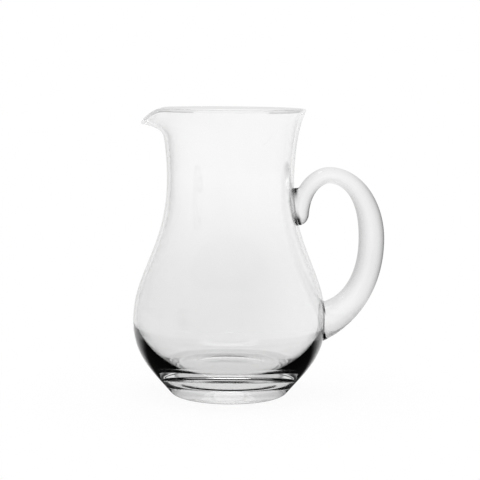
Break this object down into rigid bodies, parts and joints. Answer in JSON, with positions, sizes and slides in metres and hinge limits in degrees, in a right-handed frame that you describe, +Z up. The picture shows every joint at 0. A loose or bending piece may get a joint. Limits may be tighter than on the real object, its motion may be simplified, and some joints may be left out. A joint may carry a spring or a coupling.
{
  "type": "glass pitcher",
  "caption": "Clear glass pitcher: a pear-shaped blown vessel with a heavy base, flared rim and pulled pouring lip, and an applied solid glass handle with a curled tail.",
  "frame": {"origin": "middle of the overall box, on the table that the pitcher stands on; the vessel's own axis stands at x = -0.02115", "axes": "+Z up along the vessel's axis, -X towards the pouring lip, +X towards the handle"},
  "size_m": [0.1838, 0.1416, 0.2099],
  "materials": {
    "clear_glass": "fire-polished clear glass"
  },
  "bodies": {
    "root": {"vessel": "clear_glass", "handle": "clear_glass"}
  },
  "joints": []
}
